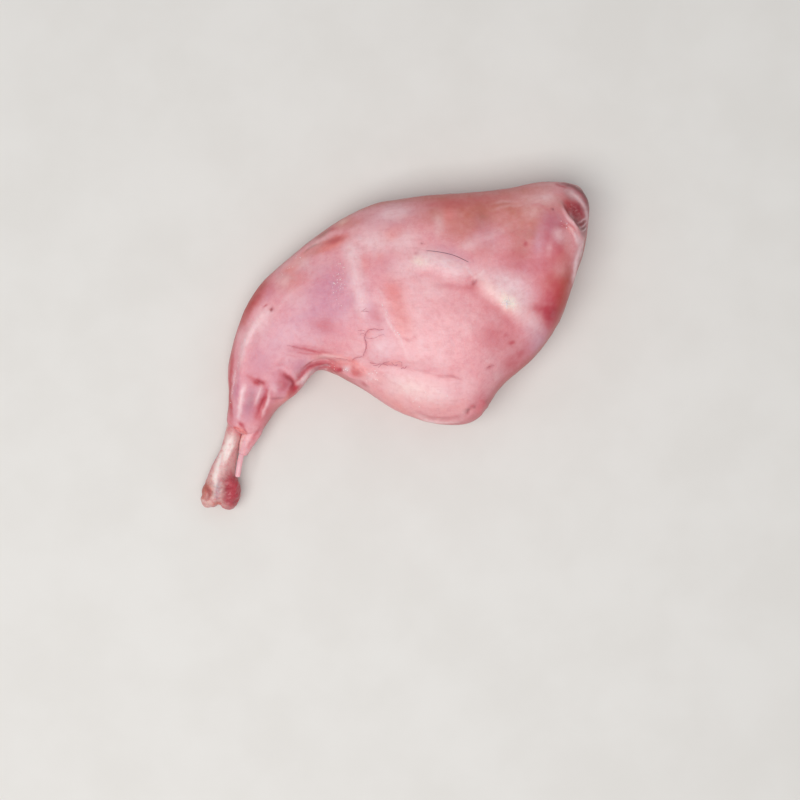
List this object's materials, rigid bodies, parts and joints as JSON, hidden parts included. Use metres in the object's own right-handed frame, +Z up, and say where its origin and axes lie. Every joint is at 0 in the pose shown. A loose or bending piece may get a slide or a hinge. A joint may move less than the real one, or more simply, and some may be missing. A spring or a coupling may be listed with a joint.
{
  "type": "raw rabbit leg",
  "caption": "Skinned raw hind leg of rabbit lying on its inner side, with a full thigh, a bent knee and the bare shin bone and heel tendon showing at the ankle.",
  "frame": {"origin": "on the plane the leg lies on, under the middle of its overall box", "axes": "+X from the bare ankle bone towards the rump, +Y towards the front of the thigh, +Z up out of the outer side of the thigh"},
  "size_m": [0.1638, 0.1384, 0.0417],
  "materials": {
    "meat": "raw pink meat under a thin wet silverskin film",
    "bone": "fresh wet bone with pink tissue on it",
    "tendon": "moist pale pink tendon"
  },
  "bodies": {
    "root": {"leg_meat": "meat", "shin_bone": "bone", "heel_tendon": "tendon"}
  },
  "joints": []
}
